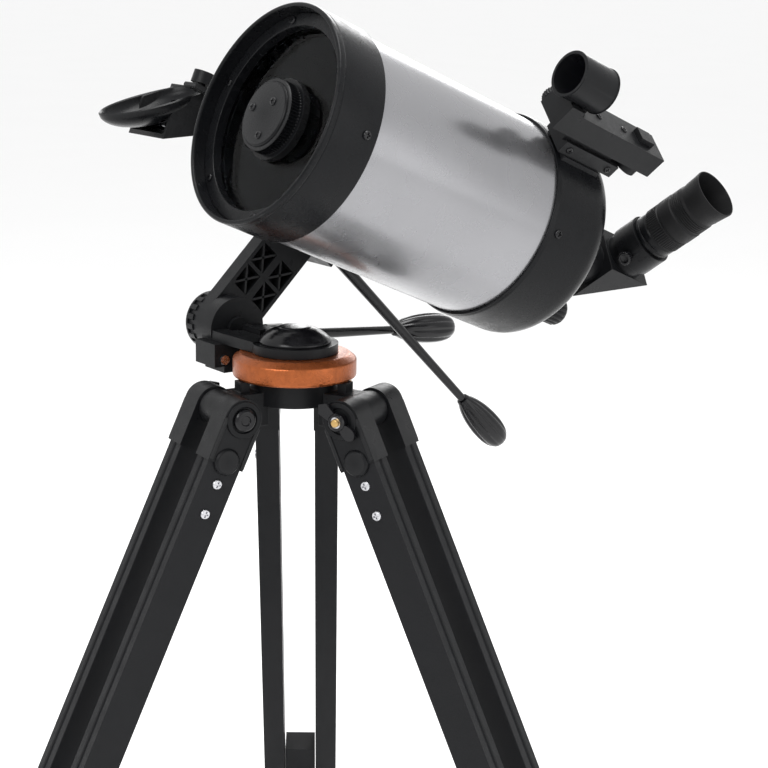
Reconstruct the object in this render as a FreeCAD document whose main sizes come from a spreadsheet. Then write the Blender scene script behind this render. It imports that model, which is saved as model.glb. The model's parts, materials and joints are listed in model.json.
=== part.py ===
"""Compound (Schmidt-Cassegrain) telescope on a manual altazimuth mount and tripod.

Millimetres, +Z up.  The origin is on the azimuth axis at floor level.  The tube
points to -Y, the altitude axis runs along X and the fork arm stands on the -X side.
"""
import FreeCAD, Part
import math
import operator
import os
import Sketcher

# ---------------------------------------------------------------- driving sizes
SIZES = {
    # tripod head
    "deck_height": 650.0, "ring_radius": 44.1, "ring_side": 13.6, "ring_bevel": 3.5,
    "bevel_radius": 38.0, "hub_radius": 33.0, "hub_depth": 31.0, "hub_cavity": 24.0,
    "lug_half": 11.6, "lug_radius": 13.0,
    "azimuth_bolt_radius": 5.0, "running_gap": 0.08,
    # legs
    "pivot_radius": 56.8, "pivot_drop": 33.0, "splay": 24.93, "first_leg": 144.4,
    "rail_offset": 22.3, "rail_width": 17.6, "rail_depth": 26.0, "rail_top": 20.0,
    "rail_bottom": 575.0, "rail_wall": 1.8, "leg_length": 680.397, "pivot_bolt_radius": 4.0,
    "cap_wall": 1.4, "cap_bottom": 34.0, "slider_half": 12.6,
    "slider_depth": 20.0, "slider_top": 398.0, "foot_radius": 15.0, "foot_length": 30.0,
    "clamp_top": 540.0, "clamp_bottom": 592.0, "brace_drop": 470.0, "brace_offset": 30.0,
    # brace and tray
    "brace_hub_radius": 26.0, "brace_length": 214.65, "brace_angle": 20.0,
    "brace_hub_drop": 365.438, "tray_radius": 92.0, "tray_thick": 3.0, "bay_start": 56.0,
    "eyepiece_hole_radius": 16.1,
    # base arm, dome and azimuth drive
    "pad_radius": 31.0, "pad_bottom": 3.9, "pad_top": 10.5, "dome_radius": 26.0,
    "dome_top": 22.0, "tilt_y": -10.0, "tilt_z": 11.0, "ear_radius": 22.5,
    "ear_inner": -60.5, "ear_outer": -74.0, "azimuth_rod_x": -84.0,
    "azimuth_rod_tilt": 4.0, "housing_floor": -17.8, "rod_root_radius": 4.6, "rod_tip_radius": 3.3,
    "grip_radius": 12.2, "grip_length": 58.0,
    # fork arm and altitude drive
    "arm_half": 21.0, "arm_inner": -74.4, "arm_outer": -88.0, "arm_reach": 143.69,
    "head_radius": 50.0, "head_inner": -58.0, "head_outer": -90.0, "wheel_radius": 41.5,
    "worm_offset": 48.0, "worm_radius": 6.2, "altitude_rod_x": -67.0,
    "shaft_radius": 8.0, "altitude_hub_radius": 34.0,
    # optical tube
    "tube_axis_x": 60.0, "rim_y": -66.8, "rim_z": 180.1, "pointing": 23.08,
    "cell_radius": 76.0, "tube_radius": 73.5, "tube_wall": 1.2, "front_cell_length": 38.7,
    "tube_end": 200.0, "aperture_radius": 63.5, "glass_front": 17.0, "glass_thick": 4.0,
    "rear_cell_end": 258.0, "barrel_radius": 15.85, "barrel_bore": 15.93,
    "mirror_front": 214.0, "prism_centre": 335.0, "prism_half": 19.0,
    "diagonal_angle": 49.0, "finder_angle": 40.0,
    # phone dock
    "dock_inner": -94.0, "tray_inner": -110.0, "tray_outer": -192.0, "tray_level": 30.0,
    "hood_reach": 43.0, "hood_half": 29.0, "hood_depth": 17.0, "hood_rise": 35.7,
}

doc = FreeCAD.newDocument("telescope")
sheet = doc.addObject("Spreadsheet::Sheet", "Sizes")
for row, (alias, number) in enumerate(SIZES.items(), start=1):
    sheet.set("A%d" % row, alias)
    sheet.set("B%d" % row, str(number))
    sheet.setAlias("B%d" % row, alias)
doc.recompute()

SIGNS = {"+": operator.add, "-": operator.sub, "*": operator.mul, "/": operator.truediv}


class Size:
    """A number of the sheet, or arithmetic on such numbers, as value and expression."""

    def __init__(self, text, value):
        self.text = text
        self.value = value

    def combined(self, sign, other, swapped=False):
        left, right = (size(other), self) if swapped else (self, size(other))
        text = "(%s %s %s)" % (left.text, sign, right.text)
        return Size(text, SIGNS[sign](left.value, right.value))

    def __add__(self, other):
        return self.combined("+", other)

    def __radd__(self, other):
        return self.combined("+", other, True)

    def __sub__(self, other):
        return self.combined("-", other)

    def __rsub__(self, other):
        return self.combined("-", other, True)

    def __mul__(self, other):
        return self.combined("*", other)

    def __rmul__(self, other):
        return self.combined("*", other, True)

    def __truediv__(self, other):
        return self.combined("/", other)

    def __neg__(self):
        return self.combined("*", -1.0)


def size(item):
    """A Size from an alias of the sheet, a plain number, or a Size."""
    if isinstance(item, Size):
        return item
    if isinstance(item, str):
        return Size("Sizes." + item, SIZES[item])
    return Size("%.6f" % item, float(item))


def bind(item, **values):
    """Set properties of a document object and tie them to the sheet."""
    for name, value in values.items():
        value = size(value)
        setattr(item, name, value.value)
        if "Sizes." in value.text:
            item.setExpression(name, value.text)


# ---------------------------------------------------------------- modelling helpers
V = FreeCAD.Vector
X, Y, Z = V(1, 0, 0), V(0, 1, 0), V(0, 0, 1)
HOME = FreeCAD.Placement()
count = {"made": 0}
parts = {}


def name(kind):
    count["made"] += 1
    return "%s_%03d" % (kind, count["made"])


def place(at=(0, 0, 0), axis=Z, angle=0.0):
    """A placement that turns by angle about axis and then moves to a point."""
    point = V(*[size(value).value for value in at])
    return FreeCAD.Placement(point, FreeCAD.Rotation(axis, angle))


def facing(direction):
    """The rotation that takes +Z to a direction."""
    return FreeCAD.Rotation(Z, V(*direction))


def sited(item, at):
    """Bind an object's place to sizes, without a turn."""
    for letter, value in zip("xyz", at):
        value = size(value)
        setattr(item.Placement.Base, letter, value.value)
        if "Sizes." in value.text:
            item.setExpression("Placement.Base." + letter, value.text)
    return item


def box(x_range, y_range, z_range):
    """A box between two bounds along each axis."""
    item = doc.addObject("Part::Box", name("box"))
    low = [size(pair[0]) for pair in (x_range, y_range, z_range)]
    high = [size(pair[1]) for pair in (x_range, y_range, z_range)]
    bind(item, Length=high[0] - low[0], Width=high[1] - low[1], Height=high[2] - low[2])
    item.Placement = place(low)
    return sited(item, low)


def rod(radius, length, at=(0, 0, 0), direction=(0, 0, 1)):
    """A cylinder that starts at a point and runs along a direction."""
    item = doc.addObject("Part::Cylinder", name("rod"))
    bind(item, Radius=radius, Height=length)
    point = V(*[size(value).value for value in at])
    item.Placement = FreeCAD.Placement(point, facing(direction))
    return sited(item, at)


def cone(low_radius, high_radius, length, at=(0, 0, 0), direction=(0, 0, 1)):
    item = doc.addObject("Part::Cone", name("cone"))
    bind(item, Radius1=low_radius, Radius2=high_radius, Height=length)
    point = V(*[size(value).value for value in at])
    item.Placement = FreeCAD.Placement(point, facing(direction))
    return sited(item, at)


def ring(outer, inner, length, at=(0, 0, 0), direction=(0, 0, 1)):
    """A tube, cut from a cylinder by a longer one."""
    overrun = 1.0
    start = [size(value) - overrun * part for value, part in zip(at, direction)]
    return cut(rod(outer, length, at, direction),
               rod(inner, size(length) + 2 * overrun, start, direction))


def fuse(*items):
    if len(items) == 1:
        return items[0]
    item = doc.addObject("Part::MultiFuse", name("fuse"))
    item.Shapes = list(items)
    item.Refine = True
    return item


def cut(base, *tools):
    item = doc.addObject("Part::Cut", name("cut"))
    item.Base = base
    item.Tool = fuse(*tools)
    item.Refine = True
    return item


def group(*items):
    """Separate solids in one sub-part, such as a set of screws."""
    item = doc.addObject("Part::Compound", name("group"))
    item.Links = list(items)
    return item


def turned(item, placement):
    """The same piece in a frame of its own."""
    holder = doc.addObject("Part::Compound", name("turned"))
    holder.Links = [item]
    holder.Placement = placement
    return holder


def sketch_on(body, role, outline):
    """A closed outline of straight sides on an origin plane, each corner bound to sizes."""
    sketch = body.newObject("Sketcher::SketchObject", name("sketch"))
    plane = [item for item in body.Origin.OriginFeatures if item.Role == role][0]
    sketch.AttachmentSupport = (plane, [""])
    sketch.MapMode = "FlatFace"
    corners = [(size(across), size(along)) for across, along in outline]
    points = [V(across.value, along.value, 0) for across, along in corners]
    total = len(points)
    for index in range(total):
        sketch.addGeometry(Part.LineSegment(points[index], points[(index + 1) % total]))
    for index in range(total):
        joined = Sketcher.Constraint("Coincident", index, 2, (index + 1) % total, 1)
        sketch.addConstraint(joined)
    for index, corner in enumerate(corners):
        for kind, axis, value in (("DistanceX", -2, corner[0]), ("DistanceY", -1, corner[1])):
            if abs(value.value) < 1e-9:
                sketch.addConstraint(Sketcher.Constraint("PointOnObject", index, 1, axis))
                continue
            rule = Sketcher.Constraint(kind, -1, 1, index, 1, value.value)
            number = sketch.addConstraint(rule)
            if "Sizes." in value.text:
                sketch.setExpression("Constraints[%d]" % number, value.text)
    return sketch


def lathe(outline):
    """A turned piece: an outline of (radius, height) corners revolved about Z."""
    body = doc.addObject("PartDesign::Body", name("turning"))
    sketch = sketch_on(body, "XZ_Plane", outline)
    item = body.newObject("PartDesign::Revolution", name("revolution"))
    item.Profile = sketch
    item.ReferenceAxis = (sketch, ["V_Axis"])
    item.Angle = 360
    sketch.Visibility = False
    return body


def slab(outline, low, high, role="XY_Plane"):
    """A plate: an outline padded from one level to another."""
    body = doc.addObject("PartDesign::Body", name("plate"))
    sketch = sketch_on(body, role, outline)
    item = body.newObject("PartDesign::Pad", name("pad"))
    item.Profile = sketch
    low, high = size(low), size(high)
    bind(item, Length=high - low)
    lift = {"XY_Plane": V(0, 0, low.value), "YZ_Plane": V(low.value, 0, 0)}[role]
    body.Placement = FreeCAD.Placement(lift, FreeCAD.Rotation())
    return body


def part(label, item, placement=HOME):
    """Name a finished sub-part and put its own frame in place."""
    item.Placement = placement.multiply(item.Placement)
    item.Label = label
    parts[label] = item
    return item


def around(number, first=0.0):
    """Even directions round a circle, in degrees."""
    return [first + 360.0 * step / number for step in range(number)]


def polar(radius, angle):
    turn = math.radians(angle)
    return size(radius) * math.cos(turn), size(radius) * math.sin(turn)


def grip_rod(length):
    """A control rod along Z: the shaft, and its pear-shaped grip after a length."""
    shaft = lathe([(0, 0), ("rod_root_radius", 0), ("rod_root_radius", 30),
                   ("rod_tip_radius", length), ("rod_tip_radius", length + 40), (0, length + 40)])
    hole = size("rod_tip_radius")
    reach = size("grip_length")
    full = size("grip_radius")
    grip = lathe([(hole, length), (full * 0.42, length), (full * 0.62, length + 6),
                  (full * 0.86, length + 17), (full, length + 34), (full * 0.97, length + 47),
                  (full * 0.78, length + reach - 4), (full * 0.5, length + reach),
                  (0, length + reach), (0, length + 40), (hole, length + 40)])
    return shaft, grip


# ---------------------------------------------------------------- frames of reference
deck = size("deck_height")
HEAD = place((0, 0, deck))
back_slope = math.radians(SIZES["pointing"])
rearward = V(0, math.cos(back_slope), -math.sin(back_slope))
skyward = V(0, math.sin(back_slope), math.cos(back_slope))
TUBE = FreeCAD.Placement(V(SIZES["tube_axis_x"], SIZES["rim_y"], SIZES["rim_z"] + deck.value),
                         FreeCAD.Rotation(V(-1, 0, 0), skyward, rearward, "ZYX"))
DIAGONAL = TUBE.multiply(place(angle=SIZES["diagonal_angle"]))
FINDER = TUBE.multiply(place(angle=SIZES["finder_angle"]))
half_root = math.sqrt(0.5)
tilt_point = V(0, SIZES["tilt_y"], SIZES["tilt_z"])
altitude_point = tilt_point + V(0, half_root, half_root) * SIZES["arm_reach"]
# the arm's own frame: the tilt axis is its X axis and the arm runs along its Z axis
ARM = HEAD.multiply(FreeCAD.Placement(tilt_point, FreeCAD.Rotation(X, -45)))
# where the altitude axis crosses the tube, as a distance behind the front rim
rim_point = V(0, SIZES["rim_y"], SIZES["rim_z"])
balance = (altitude_point - rim_point).dot(rearward)


# ---------------------------------------------------------------- tripod head
def tripod_hub():
    top = -size("ring_side")
    bottom = -size("hub_depth")
    core = lathe([(0, top), ("hub_radius", top), ("hub_radius", bottom),
                  ("hub_cavity", bottom), (size("hub_cavity") - 6, bottom + 11), (0, bottom + 11)])
    solids = [core]
    half = size("lug_half")
    drop = -size("pivot_drop")
    for angle in around(3, SIZES["first_leg"]):
        arm = fuse(box((27, "pivot_radius"), (-half, half), (drop - 12, drop + 12)),
                   rod("lug_radius", half * 2, ("pivot_radius", -half, drop), (0, 1, 0)),
                   box((38, 45.5), (-5, 5), (drop, top)))
        bore = rod(size("pivot_bolt_radius") + size("running_gap"), half * 4,
                   ("pivot_radius", half * -2, drop), (0, 1, 0))
        solids.append(turned(cut(arm, bore), place(angle=angle)))
    bore = rod(size("azimuth_bolt_radius") + size("running_gap"), 60, (0, 0, -55))
    part("tripod_hub", cut(fuse(*solids), bore), HEAD)


def azimuth_ring():
    side = -size("ring_side")
    bore = size("azimuth_bolt_radius") + size("running_gap")
    part("azimuth_ring", lathe([(bore, side), ("ring_radius", side), ("ring_radius", 0),
                                ("bevel_radius", "ring_bevel"), (bore, "ring_bevel")]), HEAD)


# ---------------------------------------------------------------- one leg
def leg(letter, angle):
    turn = math.radians(angle)
    pivot = V(SIZES["pivot_radius"] * math.cos(turn), SIZES["pivot_radius"] * math.sin(turn),
              deck.value - SIZES["pivot_drop"])
    # leg frame: X along the pivot bolt, Y outward, Z up the leg
    frame = FreeCAD.Placement(pivot, FreeCAD.Rotation(Z, angle - 90)).multiply(
        place(axis=X, angle=SIZES["splay"]))
    offset, width, depth = size("rail_offset"), size("rail_width"), size("rail_depth")
    wall = size("rail_wall")
    rails, caps, screws = [], [], []
    outer_x = offset + width / 2
    cap_in = offset - width / 2 - size("cap_wall") * 0.5
    cap_out = outer_x + size("cap_wall")
    for side in (-1, 1):
        x_pair = sorted([side * (offset - width / 2).value, side * outer_x.value])
        middle = offset * side
        outside = box((middle - width / 2, middle + width / 2), (depth / -2, depth / 2),
                      (-size("rail_bottom"), -size("rail_top")))
        hollow = box((middle - width / 2 + wall, middle + width / 2 - wall),
                     (wall - depth / 2, depth / 2 - wall),
                     (-size("rail_bottom") - 1, -size("rail_top") - 40))
        groove = box((middle - 2, middle + 2), (depth / 2 - 1, depth / 2 + 1),
                     (-size("rail_bottom") - 1, -size("rail_top") + 1))
        rails.append(cut(outside, hollow, groove))
        cap_low, cap_high = sorted([cap_in * side, cap_out * side], key=lambda item: item.value)
        flange = size("cap_wall")
        shell = fuse(box((cap_low, cap_high), (depth / -2 - flange, depth / 2 + flange),
                         (-size("cap_bottom"), 0)),
                     rod(depth / 2 + flange, cap_high - cap_low, (cap_low, 0, 0), (1, 0, 0)))
        rail_room = box((middle - width / 2, middle + width / 2), (depth / -2, depth / 2),
                        (-size("cap_bottom") - 1, -size("rail_top")))
        bore = rod("pivot_bolt_radius", 80, (-40, 0, 0), (1, 0, 0))
        caps.append(cut(shell, rail_room, bore))
        for height in (-48.0, -70.0):
            at = (outer_x * side, 0, height)
            screws.append(rod(3.6, 1.6, at, (side, 0, 0)))
    part("leg_%s_rails" % letter, group(*rails), frame)
    bolt = fuse(rod("pivot_bolt_radius", cap_out * 2 + 8, (-cap_out, 0, 0), (1, 0, 0)),
                rod(8.0, 4.0, (-cap_out - 4, 0, 0), (1, 0, 0)))
    nut = cut(fuse(rod(6.5, 7.0, (cap_out, 0, 0), (1, 0, 0)),
                   box((cap_out + 2, cap_out + 6), (-16, 16), (-3.5, 3.5))),
              rod("pivot_bolt_radius", 30, (cap_out - 1, 0, 0), (1, 0, 0)))
    part("leg_%s_fasteners" % letter, group(bolt, nut, *screws), frame)

    # brace bracket: a bridge on the rails' inner side with two cheeks and stub pins
    brace = -size("brace_drop")
    inner = depth / -2
    pin_y = -size("brace_offset")
    pieces = [box((-outer_x, outer_x), (inner - 3, inner), (brace - 4, brace + 14))]
    for side in (-1, 1):
        low, high = sorted([6.0 * side, 9.0 * side])
        pieces.append(box((low, high), (pin_y - 6, inner - 1), (brace - 8, brace + 8)))
    for side in (-1, 1):
        pieces.append(rod(3.0, 1.6, (side * 6.5, pin_y, brace), (-side, 0, 0)))
    bracket = fuse(*pieces)

    # clamp at the rails' lower end, with a thumb screw that locks the lower leg
    clamp_low, clamp_high = -size("clamp_bottom"), -size("clamp_top")
    grow = 2.5
    block = box((-outer_x - grow, outer_x + grow), (depth / -2 - grow, depth / 2 + grow),
                (clamp_low, clamp_high))
    rooms = [box((offset * side - width / 2, offset * side + width / 2), (depth / -2, depth / 2),
                 (-size("rail_bottom"), clamp_high + 1)) for side in (-1, 1)]
    slide_half = size("slider_half") + 0.3
    slot = box((-slide_half, slide_half), (depth / -2 - 0.3, depth / 2 + 0.3),
               (clamp_low - 1, clamp_high + 1))
    screw_bore = rod(3.1, 30, (0, depth / 2 - 5, (clamp_low + clamp_high) / 2), (0, 1, 0))
    clamp = cut(block, slot, screw_bore, *rooms)
    part("leg_%s_fittings" % letter, group(*caps, bracket, clamp), frame)
    knob_z = (clamp_low + clamp_high) / 2
    knob_y = depth / 2 + grow + 0.6
    knob = fuse(rod(11.0, 12.0, (0, knob_y + 3, knob_z), (0, 1, 0)),
                rod(7.0, 3.0, (0, knob_y, knob_z), (0, 1, 0)),
                rod(3.0, 8.0, (0, knob_y - 3.2, knob_z), (0, 1, 0)))
    part("leg_%s_lock_knob" % letter, knob, frame)

    # lower leg that slides between the rails, and its rubber foot cut level with the floor
    half = size("slider_half")
    foot_top = -size("leg_length") + size("foot_length")
    slider = cut(box((-half, half), (size("slider_depth") / -2, size("slider_depth") / 2),
                     (foot_top, -size("slider_top"))),
                 box((wall - half, half - wall), (wall - size("slider_depth") / 2,
                                                  size("slider_depth") / 2 - wall),
                     (foot_top - 1, -size("slider_top") - 20)))
    foot = cone(size("foot_radius") * 0.8, "foot_radius", size("foot_length") + 12,
                (0, 0, -size("leg_length") - 12))
    plug = box((wall - half, half - wall), (wall - size("slider_depth") / 2,
                                            size("slider_depth") / 2 - wall),
               (foot_top - 1, foot_top + 14))
    below = box((-60, 60), (-60, 60), (-60, 0))
    floor_frame = place((0, 0, -size("leg_length")), X, -SIZES["splay"])
    foot = cut(fuse(foot, plug), turned(below, floor_frame))
    part("leg_%s_lower" % letter, group(slider, foot), frame)

    # brace arm: hinged on the brace hub, its far eye between the leg bracket's stub pins
    slope = math.radians(SIZES["brace_angle"])
    hub_z = deck.value - SIZES["pivot_drop"] - SIZES["brace_hub_drop"]
    start = V(SIZES["brace_hub_radius"], 0, hub_z)
    radial = FreeCAD.Placement(V(0, 0, 0), FreeCAD.Rotation(Z, angle)).multiply(
        FreeCAD.Placement(start, FreeCAD.Rotation(Y, math.degrees(slope))))
    reach = size("brace_length")
    arm = cut(fuse(box((0, reach), (-4, 4), (-4.5, 4.5)), rod(5.5, 8, (0, -4, 0), (0, 1, 0)),
                   rod(5.5, 8, (reach, -4, 0), (0, 1, 0))),
              rod(2.58, 20, (0, -10, 0), (0, 1, 0)), rod(3.3, 20, (reach, -10, 0), (0, 1, 0)),
              box((14, reach - 14), (-5, -2.5), (-2.5, 2.5)),
              box((14, reach - 14), (2.5, 5), (-2.5, 2.5)))
    part("brace_arm_%s" % letter, arm, radial)


def brace_hub():
    hub_z = deck.value - SIZES["pivot_drop"] - SIZES["brace_hub_drop"]
    solids = [rod(15.0, 20.0, (0, 0, -10))]
    for angle in around(3, SIZES["first_leg"]):
        cheeks = [box((10, size("brace_hub_radius") + 5), (side * 7.0 - 2.6, side * 7.0 + 2.6), (-7, 7))
                  for side in (-1, 1)]
        pin = rod(2.5, 19, ("brace_hub_radius", -9.5, 0), (0, 1, 0))
        solids.append(turned(fuse(*cheeks, pin), place(angle=angle)))
    part("brace_hub", fuse(*solids), place((0, 0, hub_z)))


def accessory_tray():
    hub_z = deck.value - SIZES["pivot_drop"] - SIZES["brace_hub_drop"]
    thick = size("tray_thick")
    disc = fuse(rod("tray_radius", thick), ring("tray_radius", size("tray_radius") - 2.5, 8.0))
    post = rod(9.0, 12.0, (0, 0, -12))
    through = thick * 3
    below = thick * -1
    holes = [rod("eyepiece_hole_radius", through, polar(58, angle) + (below,))
             for angle in around(3, SIZES["first_leg"] + 60)]
    holes += [rod(9.0, through, polar(34, angle) + (below,))
              for angle in around(3, SIZES["first_leg"])]
    # a bay in front of each leg lets the tripod fold with its tray in place
    bays = [turned(box(("bay_start", 110), (-37, 37), (-20, 20)), place(angle=angle))
            for angle in around(3, SIZES["first_leg"])]
    part("accessory_tray", fuse(cut(disc, *holes, *bays), post), place((0, 0, hub_z + 22)))


# ---------------------------------------------------------------- azimuth body
def base_arm():
    low, high = size("pad_bottom"), size("pad_top")
    pad = rod("pad_radius", high - low, (0, 0, low))
    plate = slab([(-10, -29), (-50, -31.5), ("ear_outer", -32), ("ear_outer", 12), (-50, 12),
                  (-10, 29)], low, high + 1)
    ear = rod("ear_radius", size("ear_inner") - size("ear_outer"), ("ear_outer", "tilt_y", "tilt_z"),
              (1, 0, 0))
    below = box((-90, -40), (-60, 40), (-40, low))
    rib = box((-52, -27), (-12, -7), (low, high + 5))
    tilt_bore = rod(5.08, 40, (-90, "tilt_y", "tilt_z"), (1, 0, 0))
    head_room = rod(9.3, 8, ("ear_inner", "tilt_y", "tilt_z"), (1, 0, 0))
    bolt_bore = rod("azimuth_bolt_radius", 30, (0, 0, 0))
    dome_seat = rod(size("dome_radius") + 0.05, 20, (0, 0, high))
    solid = fuse(pad, plate, ear, rib)
    part("base_arm", cut(solid, below, tilt_bore, head_room, bolt_bore, dome_seat), HEAD)


def dome_cap():
    low = size("pad_top")
    full = size("dome_radius")
    top = size("dome_top")
    dome = lathe([(7, low), (full, low), (full, low + 2), (full * 0.93, low + 4.6),
                  (full * 0.78, low + 7.4), (full * 0.6, low + 9.6), (full * 0.42, top - 0.6),
                  (full * 0.36, top), (0, top), (0, top - 3), (7, top - 3)])
    part("dome_cap", dome, HEAD)


def azimuth_fasteners():
    """The bolt that the mount turns on, and the screw of the gear housing."""
    bolt = fuse(rod("azimuth_bolt_radius", 40, (0, 0, -28)), rod(6.8, 6, (0, 0, "pad_top")),
                rod(11, 7, (0, 0, -27.4)))
    part("azimuth_fasteners", group(bolt, rod(3.6, 1.6, (-46.5, -30, -8), (1, 0, 0))), HEAD)


def azimuth_drive():
    """Gear housing under the base arm, and the control rod that comes out of it."""
    slope = math.radians(SIZES["azimuth_rod_tilt"])
    along = (0, math.cos(slope), -math.sin(slope))
    axis_at = V(SIZES["azimuth_rod_x"], 0, -1.5)

    def on_axis(distance):
        return tuple(axis_at + V(*along) * distance)

    top = size("pad_bottom")
    floor = size("housing_floor")
    body = fuse(box((-73, -46.5), (-38, 14), (floor, top)), box((-73, -48), (14, 40), (-16, top)),
                box((-94, -73), (15, 40), (-16, top - 1)), rod(9.0, 14, on_axis(30), along))
    bore = rod(size("rod_root_radius") + size("running_gap"), 40, on_axis(14), along)
    room = rod(7.4, 18, on_axis(16), along)
    notch = box((-80, -40), (-40, -30), (-24, -13))
    head_room = rod(9.3, 8, ("ear_inner", "tilt_y", "tilt_z"), (1, 0, 0))
    part("azimuth_housing", cut(body, bore, room, notch, head_room), HEAD)
    shaft, grip = grip_rod(133)
    frame = FreeCAD.Placement(axis_at + V(*along) * 18, facing(along))
    worm = rod(6.6, 12, (0, 0, 1))
    part("azimuth_rod", group(fuse(shaft, worm), grip), HEAD.multiply(frame))


# ---------------------------------------------------------------- fork arm (arm frame)
def fork_arm():
    inner, outer = size("arm_inner"), size("arm_outer")
    half, reach = size("arm_half"), size("arm_reach")
    bar = box((outer, inner), (-half, half), (0, reach))
    root = rod(half, inner - outer, (outer, 0, 0), (1, 0, 0))
    pocket_floor = outer + 4
    pockets = []
    for low, high in ((26, 44), (47, 65)):
        for side in (-1, 1):
            y_pair = sorted([side * 3.0, side * (SIZES["arm_half"] - 3)])
            pockets.append(box((pocket_floor, inner + 1), y_pair, (low, high)))
    head = rod("head_radius", size("head_inner") - size("head_outer"), ("head_outer", 0, reach), (1, 0, 0))
    inner_wall = 2.0
    room = rod(size("wheel_radius") + 2, 30, (size("head_inner") - inner_wall - 30, 0, reach), (1, 0, 0))
    # the worm crosses the arm along its own Y axis
    worm_z = reach - size("worm_offset")
    worm_box = box(("head_outer", "head_inner"), (-31, 31), (worm_z - 11, reach - 20))
    worm_room = rod(size("worm_radius") + 0.8, 44, ("altitude_rod_x", -22, worm_z), (0, 1, 0))
    worm_bore = rod(size("rod_root_radius") + size("running_gap"), 30,
                    ("altitude_rod_x", 14, worm_z), (0, 1, 0))
    shaft_bore = rod(size("shaft_radius") + size("running_gap"), 40, (-95, 0, reach), (1, 0, 0))
    tilt_bore = rod(5.0, 40, (-110, 0, 0), (1, 0, 0))
    solid = cut(fuse(bar, root, head, worm_box), room, worm_room, worm_bore, shaft_bore, tilt_bore,
                *pockets)
    part("fork_arm", solid, ARM)


def arm_fittings():
    reach = size("arm_reach")
    outer = size("head_outer")
    radius = size("wheel_radius") + 2
    cover = cut(rod(radius, 4, (outer, 0, reach), (1, 0, 0)),
                rod(size("shaft_radius") + size("running_gap"), 10, (outer - 2, 0, reach), (1, 0, 0)))
    thick = 9.0
    start = size("arm_outer") - thick
    notches = []
    for angle in around(18):
        across, along = polar(22.5, angle)
        notches.append(rod(2.0, thick - 2, (start + 2, across, along), (1, 0, 0)))
    cap = cut(rod(22.0, thick, (start, 0, 0), (1, 0, 0)), *notches,
              rod(5.0, 20, (start + 3, 0, 0), (1, 0, 0)))
    bolt = fuse(rod(5.0, 35.5, (start + 3, 0, 0), (1, 0, 0)),
                rod(8.5, 3.0, (size("ear_inner") + 0.1, 0, 0), (1, 0, 0)))
    part("arm_covers", group(cover, cap, bolt), ARM)


def altitude_drive():
    reach = size("arm_reach")
    worm_z = reach - size("worm_offset")
    # the rod starts inside the arm head and runs along the arm frame's Y axis
    frame = ARM.multiply(FreeCAD.Placement(V(SIZES["altitude_rod_x"], -18, worm_z.value),
                                           facing((0, 1, 0))))
    shaft, grip = grip_rod(232)
    worm = rod("worm_radius", 34, (0, 0, 1))
    part("altitude_rod", group(fuse(shaft, worm), grip), frame)


# ---------------------------------------------------------------- altitude body
def altitude_parts():
    """Shaft, worm wheel, hub disc, saddle and its clamp knob, in the tube's frame."""
    axis_x = size("tube_axis_x")

    def side(value):
        """An assembly X coordinate as the tube frame's own X, which points the other way."""
        return axis_x - size(value)

    shaft = rod("shaft_radius", 56, (side(-46), 0, balance), (1, 0, 0))
    wheel = rod("wheel_radius", 12, (side(-61), 0, balance), (1, 0, 0))
    disc = rod("altitude_hub_radius", 11.5, (side(-46), 0, balance), (1, 0, 0))
    part("altitude_hub", fuse(shaft, wheel, disc), TUBE)
    bar = box((side(-16), side(-31)), (-22, 22), (24, 236))
    bar_foot = box((side(-6), side(-17)), (-22, 22), (24, 236))
    cell_room = rod(size("cell_radius") + 0.02, 300, (0, 0, -10))
    part("dovetail_bar", cut(fuse(bar, bar_foot), cell_room), TUBE)
    low, high = balance - 38, balance + 38
    saddle = cut(box((side(-22), side(-46)), (-34, 34), (low, high)),
                 box((side(-20), side(-31)), (-22, 22), (low - 1, high + 1)),
                 rod(3.6, 20, (side(-26.5), -36, balance), (0, 1, 0)))
    part("saddle", saddle, TUBE)
    knob = fuse(rod(3.5, 12, (side(-26.5), -34.6, balance), (0, 1, 0)),
                rod(10.0, 14, (side(-26.5), -48.6, balance), (0, 1, 0)))
    part("saddle_knob", knob, TUBE)


# ---------------------------------------------------------------- optical tube (tube frame)
def front_end():
    cell, bore = size("cell_radius"), size("tube_radius")
    glass = size("glass_front")
    back = glass + size("glass_thick") + 0.2
    end = size("front_cell_length")
    part("front_cell", lathe([(73.2, 0), (75.2, 0), (cell, 0.8), (cell, end), (bore, end), (bore, 30),
                              (64.5, 30), (64.5, back), (67.5, back), (67.5, glass), (72.7, glass),
                              (72.7, 1.5)]), TUBE)
    part("corrector_plate", lathe([(24.1, glass), (67.3, glass), (67.3, back - 0.2),
                                   (24.1, back - 0.2)]), TUBE)
    holes, screws = [], []
    for angle in around(6, 76.3):
        at = polar(68.2, angle)
        holes.append(rod(1.6, 10, at + (size(8),)))
        screws.append(fuse(rod(2.6, 1.4, at + (size(8.6),)), rod(1.5, 6, at + (size(10),))))
    retaining = cut(lathe([("aperture_radius", 10), (72.5, 10), (72.5, glass),
                           ("aperture_radius", glass)]), *holes)
    part("retaining_ring", retaining, TUBE)
    all_screws = list(screws)
    housing = lathe([(0, 4), (25, 4), (25, 12), (28, 12), (28, glass - 0.1), (24, glass - 0.1),
                     (24, 30), (0, 30)])
    cover = lathe([(0, 1.6), (21.5, 1.6), (22.5, 2.4), (22.5, 4), (0, 4)])
    part("secondary_housing", fuse(housing, cover), TUBE)
    all_screws += [rod(2.8, 1.2, polar(12.5, angle) + (size(0.4),)) for angle in around(3, 75)]
    part("secondary_mirror", rod(20, 6, (0, 0, 30)), TUBE)
    for along, first in ((30, 178), (209, 182)):
        for angle in around(3, first):
            across, up = polar("cell_radius", angle)
            turn = math.radians(angle)
            all_screws.append(rod(2.8, 1.5, (across, up, along), (math.cos(turn), math.sin(turn), 0)))
    part("tube_screws", group(*all_screws), TUBE)


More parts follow.
